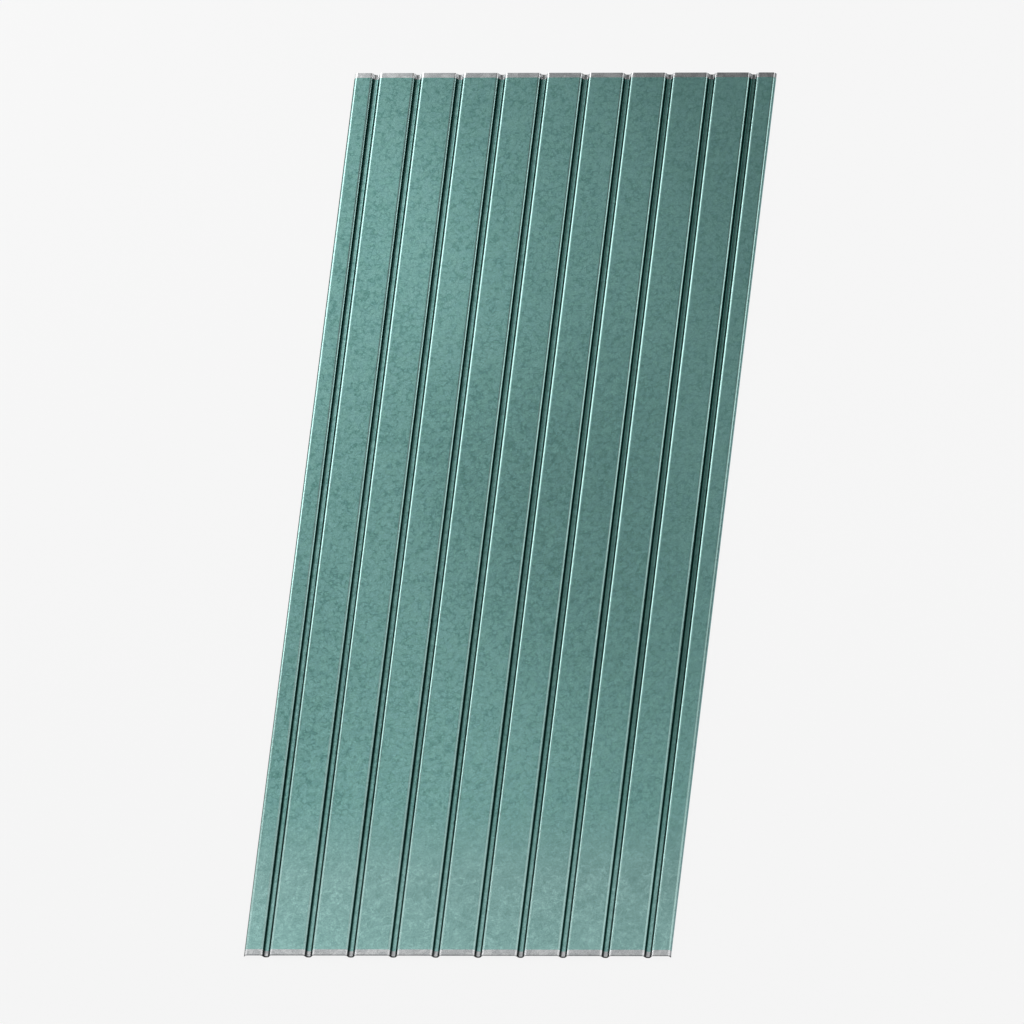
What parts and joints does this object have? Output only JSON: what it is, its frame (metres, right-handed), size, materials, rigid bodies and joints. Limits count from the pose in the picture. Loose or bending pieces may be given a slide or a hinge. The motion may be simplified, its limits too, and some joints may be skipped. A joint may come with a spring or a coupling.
{
  "type": "profiled corrugated metal sheet",
  "caption": "Roll-formed steel cladding sheet with broad flat crowns, narrow pressed flutes and turned-down long edges, green lacquer over zinc.",
  "frame": {"origin": "middle of the sheet's length and width, in the plane that the backs of the flute floors rest on", "axes": "+Y along the flutes, +X across the sheet, +Z out of the painted side"},
  "size_m": [1.007, 2.5, 0.0085],
  "materials": {
    "lacquered_zinc": "satin"
  },
  "bodies": {
    "root": {"profiled_sheet": "lacquered_zinc"}
  },
  "joints": []
}
